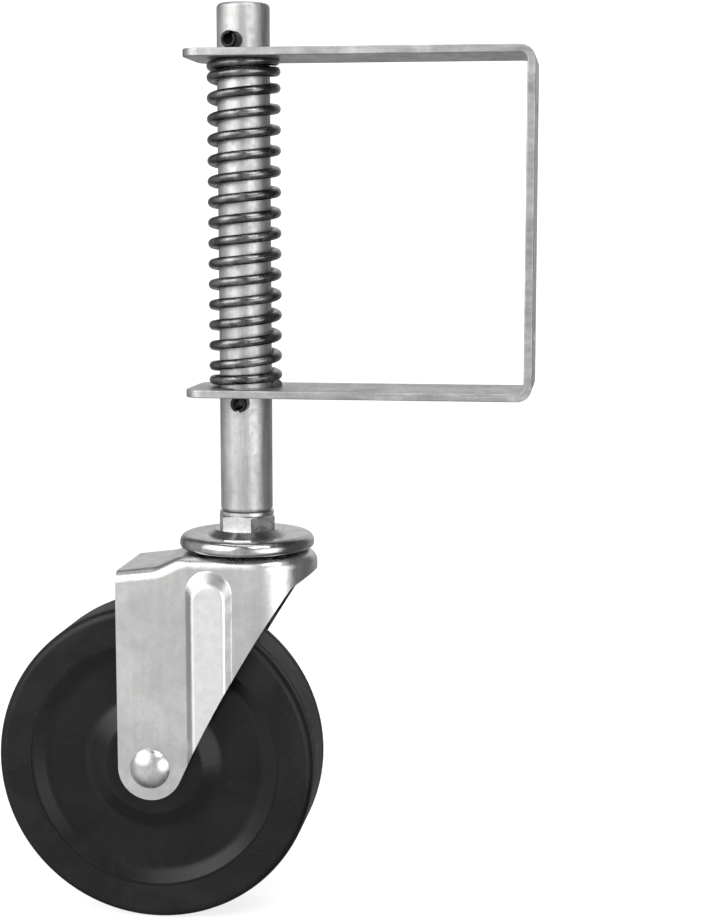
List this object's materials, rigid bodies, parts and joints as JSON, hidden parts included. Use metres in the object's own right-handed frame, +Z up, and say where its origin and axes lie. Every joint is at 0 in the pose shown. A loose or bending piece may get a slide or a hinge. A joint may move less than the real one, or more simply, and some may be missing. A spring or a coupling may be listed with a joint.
{
  "type": "gate wheel",
  "caption": "Spring-loaded swivel castor on a sliding tube, held in a C-shaped bracket that bolts to a gate.",
  "frame": {"origin": "middle of the bracket web's outer face, on the line between the two gate bolt holes", "axes": "+X out of the web towards the gate, +Y across the bar, +Z up along the sliding tube"},
  "size_m": [0.2071, 0.059, 0.3523],
  "materials": {
    "bracket_zinc": "zinc plated flat bar, dull",
    "spring_steel": "oil-tempered wire, dark",
    "tube_zinc": "zinc plated, drawn lengthwise",
    "pin_steel": "blackened",
    "fitting_zinc": "bright zinc",
    "head_zinc": "bright zinc, pressed",
    "bearing_steel": "ground and hardened",
    "fork_zinc": "bright zinc, pressed sheet",
    "axle_zinc": "bright zinc",
    "wheel_plastic": "moulded, satin",
    "tyre_rubber": "black rubber",
    "cage_plastic": "natural nylon",
    "cap_plastic": "moulded, satin"
  },
  "bodies": {
    "bracket": {"bracket": "bracket_zinc", "compression_spring": "spring_steel"},
    "stem": {"stem_tube": "tube_zinc", "upper_stop_pin": "pin_steel", "lower_seat_pin": "pin_steel", "tube_insert": "fitting_zinc", "caster_stem": "fitting_zinc", "race_cap": "head_zinc", "lower_race": "fitting_zinc", "kingpin_washer": "fitting_zinc"},
    "fork": {"upper_balls": "bearing_steel", "lower_balls": "bearing_steel", "fork": "fork_zinc", "axle_bolt": "axle_zinc", "axle_washer": "fitting_zinc", "axle_nut": "fitting_zinc", "axle_sleeve": "bearing_steel"},
    "wheel": {"wheel_rim": "wheel_plastic", "tyre": "tyre_rubber", "roller_cage": "cage_plastic", "bearing_rollers": "bearing_steel", "hub_caps": "cap_plastic"}
  },
  "joints": [
    {"name": "suspension", "type": "slide", "parent": "bracket", "child": "stem", "axis": [0, 0, 1], "range_m": [0, 0.043], "stiffness_N_per_m": 9400, "springref_m": -0.002, "deforming": ["compression_spring"]},
    {"name": "swivel", "type": "hinge", "parent": "stem", "child": "fork", "pos_m": [-0.11, 0, -0.1275], "axis": [0, 0, 1], "continuous": true},
    {"name": "wheel_spin", "type": "hinge", "parent": "fork", "child": "wheel", "pos_m": [-0.1446, 0, -0.2078], "axis": [0, 1, 0], "continuous": true}
  ]
}
